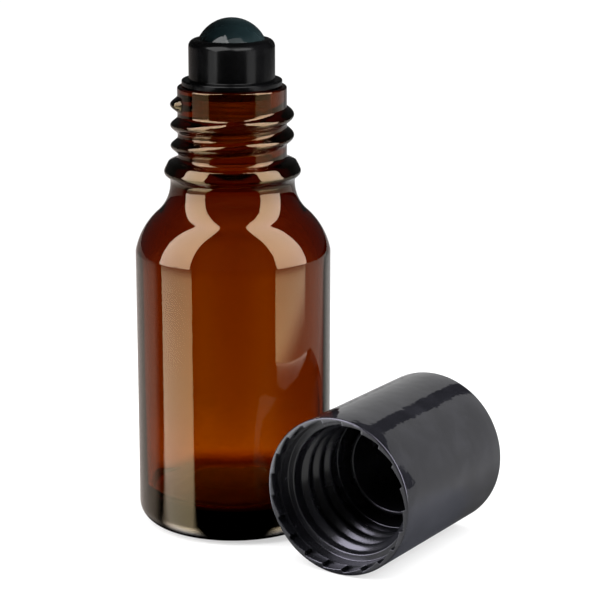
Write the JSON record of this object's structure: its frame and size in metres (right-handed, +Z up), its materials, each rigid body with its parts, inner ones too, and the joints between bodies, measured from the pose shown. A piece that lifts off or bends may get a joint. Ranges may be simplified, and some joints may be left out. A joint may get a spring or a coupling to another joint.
{
  "type": "roll-on bottle",
  "caption": "Round amber glass bottle with a screw neck, a pressed-in roller ball fitment and a tall black screw cap lying beside it.",
  "frame": {"origin": "centre of the bottle's standing ring, on the surface that it stands on", "axes": "+Z up along the bottle's axis, +Y along the lying cap's axis from its mouth to its closed end, +X from the bottle towards the cap"},
  "size_m": [0.052, 0.0286, 0.0748],
  "materials": {
    "amber_glass": "amber soda-lime glass, glossy with a faint moulded ripple",
    "fitment_plastic": "glossy black moulded plastic",
    "ball_surface": "polished dark slate ball",
    "cap_plastic": "smooth glossy black moulded plastic"
  },
  "bodies": {
    "bottle": {"glass_bottle": "amber_glass", "roller_housing": "fitment_plastic"},
    "ball": {"roller_ball": "ball_surface"},
    "cap": {"screw_cap": "cap_plastic"}
  },
  "joints": [
    {"name": "ball_roll", "type": "hinge", "parent": "bottle", "child": "ball", "pos_m": [0, 0, 0.0695], "axis": [1, 0, 0], "continuous": true},
    {"name": "cap_slide", "type": "slide", "parent": "bottle", "child": "cap", "axis": [1, 0, 0], "range_m": [0, 0.08]}
  ]
}
